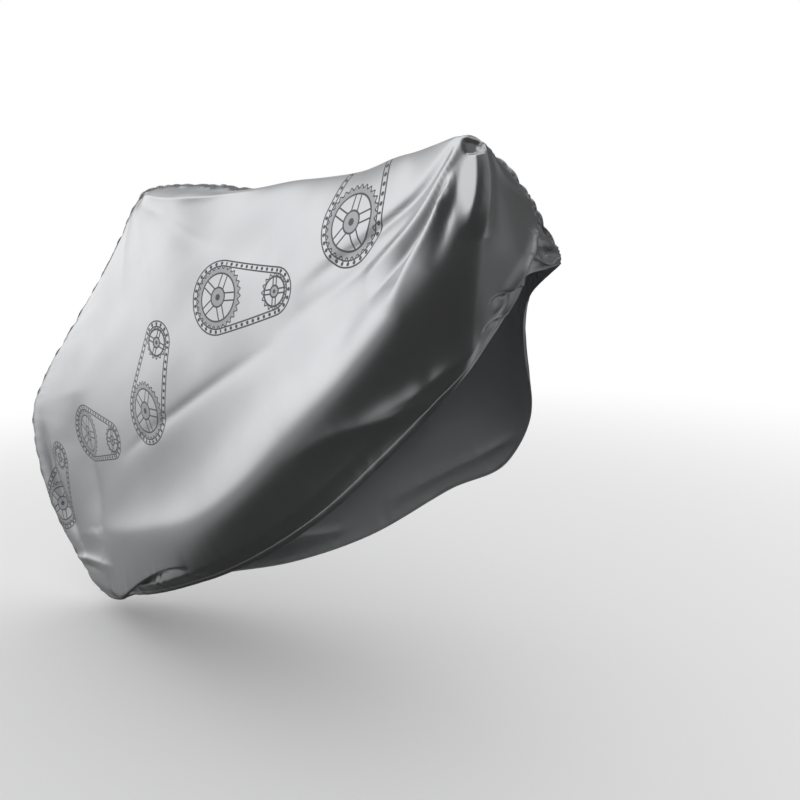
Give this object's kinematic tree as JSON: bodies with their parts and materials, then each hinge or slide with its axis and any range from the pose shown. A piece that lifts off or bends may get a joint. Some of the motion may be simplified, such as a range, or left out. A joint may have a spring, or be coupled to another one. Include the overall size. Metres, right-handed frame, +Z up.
{
  "type": "bicycle cover",
  "caption": "Silver film cover in its worn shape: side panels joined by a bound seam from rear hem over saddle and handlebar to the front, open below with a drawn-in hem.",
  "frame": {"origin": "under the film where it lies on the saddle, on the middle plane", "axes": "+X towards the front of the bicycle, +Y to its left, +Z up; the ground is 1.130 m below the origin"},
  "size_m": [1.5873, 0.7122, 1.1145],
  "materials": {
    "silver_film": "satin, aluminium-coated, smooth",
    "bound_seam": "satin, doubled and stitched"
  },
  "bodies": {
    "root": {"right_panel": "silver_film", "left_panel": "silver_film", "seam_binding": "bound_seam"}
  },
  "joints": []
}
